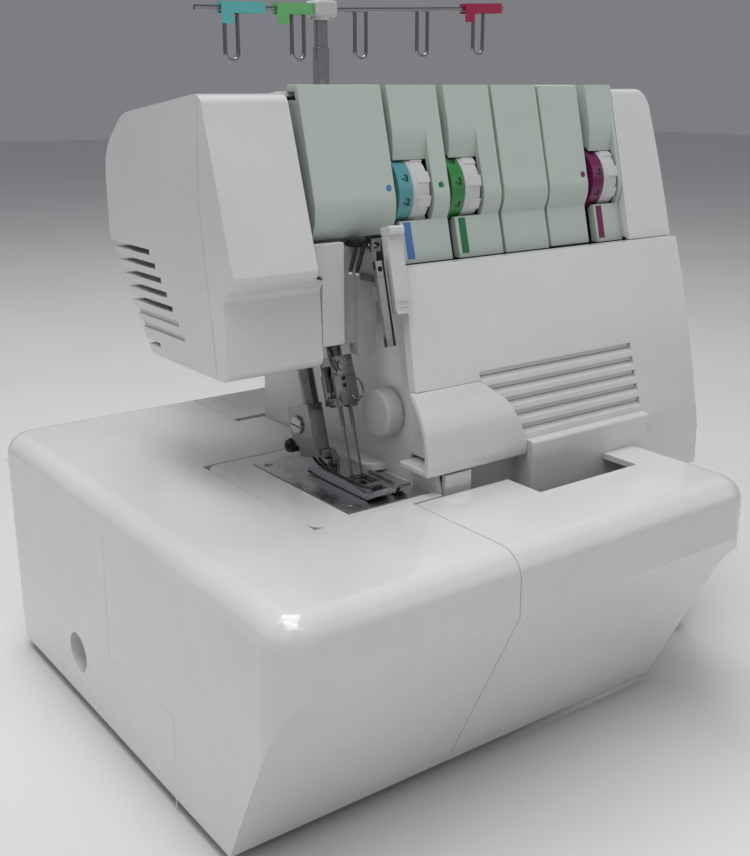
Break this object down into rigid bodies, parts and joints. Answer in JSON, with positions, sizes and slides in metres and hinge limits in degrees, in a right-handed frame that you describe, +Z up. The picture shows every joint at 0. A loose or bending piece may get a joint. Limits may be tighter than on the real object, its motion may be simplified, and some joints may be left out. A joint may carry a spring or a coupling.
{
  "type": "coverstitch overlock machine",
  "caption": "Coverstitch overlock machine with coloured tension dials, twin needles, flat-bed extension table and telescopic thread guide.",
  "frame": {"origin": "on the floor under the middle of the whole machine, table and thread guide included", "axes": "+X to the handwheel end, +Y to the back, +Z up"},
  "size_m": [0.36, 0.336, 0.3573],
  "materials": {
    "white_gloss": "glossy moulded plastic",
    "white_matte": "satin moulded plastic",
    "panel_green": "satin painted plastic",
    "dial_teal": "smooth plastic",
    "dial_green": "smooth plastic",
    "dial_magenta": "smooth plastic",
    "clip_teal": "smooth plastic",
    "clip_green": "smooth plastic",
    "clip_magenta": "smooth plastic",
    "steel": "machined",
    "dark_steel": "dark nickel",
    "chrome": "polished",
    "plate": "satin",
    "casting": "grey die casting",
    "bronze": "sintered",
    "black_plastic": "moulded",
    "grey_plastic": "moulded",
    "rubber": "moulded"
  },
  "bodies": {
    "machine": {"base_pan": "white_gloss", "bushes": "bronze", "cover_screws": "steel", "dial_spindles": "steel", "drive_belt": "rubber", "face_plate": "white_matte", "free_arm": "white_gloss", "guide_plate": "chrome", "guide_prongs": "black_plastic", "head_front_cover": "white_gloss", "head_side_cover": "white_gloss", "machine_feet": "rubber", "main_frame": "casting", "motor": "black_plastic", "needle_plate": "plate", "pole_lower": "chrome", "power_inlet": "black_plastic", "rear_cover": "white_gloss", "right_cover": "white_gloss", "spool_pins": "grey_plastic", "spool_stand": "white_gloss", "table_right": "white_gloss", "tension_panel_1": "panel_green", "tension_panel_2": "panel_green", "tension_panel_3": "panel_green", "tension_panel_4": "panel_green", "tension_panel_5": "panel_green", "tension_panel_6": "panel_green"},
    "handwheel_shaft": {"handwheel": "white_gloss", "main_shaft": "steel"},
    "motor_rotor": {"motor_pulley": "steel"},
    "rocker": {"needle_rocker": "steel"},
    "needle_drive": {"needle_bar": "steel", "needle_clamp": "dark_steel", "needles": "chrome", "clamp_screws": "steel"},
    "presser": {"presser_bar": "steel", "foot_holder": "dark_steel", "foot_screw": "steel"},
    "foot": {"presser_foot": "dark_steel"},
    "lifter": {"presser_lifter": "steel"},
    "thread_release": {"thread_lever": "white_matte"},
    "dial_blue": {"tension_dial_blue": "dial_teal"},
    "dial_green": {"tension_dial_green": "dial_green"},
    "dial_magenta": {"tension_dial_magenta": "dial_magenta"},
    "looper_cover": {"front_cover": "white_gloss", "looper_guard": "white_gloss"},
    "extension_table": {"table_left": "white_gloss"},
    "telescopic_pole": {"pole_upper": "chrome"},
    "thread_guide": {"pole_cap": "grey_plastic", "guide_wire": "chrome", "guide_clip_teal": "clip_teal", "guide_clip_green": "clip_green", "guide_clip_magenta": "clip_magenta"},
    "looper_drive": {"looper": "steel"},
    "feed": {"feed_dogs": "steel"},
    "stitch_length": {"stitch_length_dial": "white_matte"},
    "differential_feed": {"differential_dial": "white_matte"},
    "inner_knob": {"looper_knob": "grey_plastic"},
    "switch": {"power_switch": "black_plastic"}
  },
  "joints": [
    {"name": "handwheel_spin", "type": "hinge", "parent": "machine", "child": "handwheel_shaft", "pos_m": [0.14, -0.008, 0.095], "axis": [1, 0, 0], "continuous": true},
    {"name": "motor_spin", "type": "hinge", "parent": "machine", "child": "motor_rotor", "pos_m": [0.12, 0.032, 0.041], "axis": [1, 0, 0], "continuous": true},
    {"name": "rocker_swing", "type": "hinge", "parent": "machine", "child": "rocker", "pos_m": [-0.06, 0.02453, 0.26411], "axis": [1, 0, 0], "range_deg": [-16.5, 24.8]},
    {"name": "needle_bar_slide", "type": "slide", "parent": "machine", "child": "needle_drive", "axis": [0, 0.2957, 0.9553], "range_m": [-0.018, 0.012]},
    {"name": "presser_bar_slide", "type": "slide", "parent": "machine", "child": "presser", "axis": [0, 0.2957, 0.9553], "range_m": [0, 0.006]},
    {"name": "presser_foot_tilt", "type": "hinge", "parent": "presser", "child": "foot", "pos_m": [-0.08, -0.046, 0.1336], "axis": [1, 0, 0], "range_deg": [-6, 0]},
    {"name": "presser_lifter_swing", "type": "hinge", "parent": "machine", "child": "lifter", "pos_m": [-0.051, 0.016, 0.207], "axis": [1, 0, 0], "range_deg": [0, 30]},
    {"name": "thread_lever_swing", "type": "hinge", "parent": "machine", "child": "thread_release", "pos_m": [-0.053, -0.065, 0.2136], "axis": [1, 0, 0], "range_deg": [0, 25]},
    {"name": "dial_blue_turn", "type": "hinge", "parent": "machine", "child": "dial_blue", "pos_m": [-0.0418, -0.037, 0.257], "axis": [1, 0, 0], "range_deg": [-150, 150]},
    {"name": "dial_green_turn", "type": "hinge", "parent": "machine", "child": "dial_green", "pos_m": [-0.0102, -0.037, 0.257], "axis": [1, 0, 0], "range_deg": [-150, 150]},
    {"name": "dial_magenta_turn", "type": "hinge", "parent": "machine", "child": "dial_magenta", "pos_m": [0.0859, -0.037, 0.257], "axis": [1, 0, 0], "range_deg": [-150, 150]},
    {"name": "looper_cover_slide", "type": "slide", "parent": "machine", "child": "looper_cover", "axis": [1, 0, 0], "range_m": [0, 0.008]},
    {"name": "extension_table_slide", "type": "slide", "parent": "machine", "child": "extension_table", "axis": [-1, 0, 0], "range_m": [0, 0.12]},
    {"name": "pole_slide", "type": "slide", "parent": "machine", "child": "telescopic_pole", "axis": [0, 0, 1], "range_m": [0, 0.045]},
    {"name": "thread_guide_swivel", "type": "hinge", "parent": "telescopic_pole", "child": "thread_guide", "pos_m": [0.0336, 0.122, 0.337], "axis": [0, 0, 1], "range_deg": [-90, 90]},
    {"name": "looper_swing", "type": "hinge", "parent": "machine", "child": "looper_drive", "pos_m": [-0.056, -0.038, 0.091], "axis": [0, 1, 0], "range_deg": [-35, 0]},
    {"name": "feed_slide", "type": "slide", "parent": "machine", "child": "feed", "axis": [0, 1, 0], "range_m": [-0.002, 0.002]},
    {"name": "stitch_length_turn", "type": "hinge", "parent": "machine", "child": "stitch_length", "pos_m": [0.148, -0.042, 0.173], "axis": [1, 0, 0], "range_deg": [-120, 120]},
    {"name": "differential_turn", "type": "hinge", "parent": "machine", "child": "differential_feed", "pos_m": [0.148, 0.028, 0.173], "axis": [1, 0, 0], "range_deg": [-90, 90]},
    {"name": "inner_knob_turn", "type": "hinge", "parent": "machine", "child": "inner_knob", "pos_m": [-0.055, -0.056, 0.156], "axis": [1, 0, 0], "range_deg": [-90, 90]},
    {"name": "switch_rock", "type": "hinge", "parent": "machine", "child": "switch", "pos_m": [0.136, 0.028, 0.033], "axis": [0, 1, 0], "range_deg": [-6, 6]}
  ],
  "couplings": [
    {"joint": "motor_spin", "follows": "handwheel_spin", "ratio": 3.5},
    {"joint": "needle_bar_slide", "follows": "rocker_swing", "m_per_rad": -0.0415},
    {"joint": "presser_bar_slide", "follows": "presser_lifter_swing", "m_per_rad": 0.01145}
  ]
}
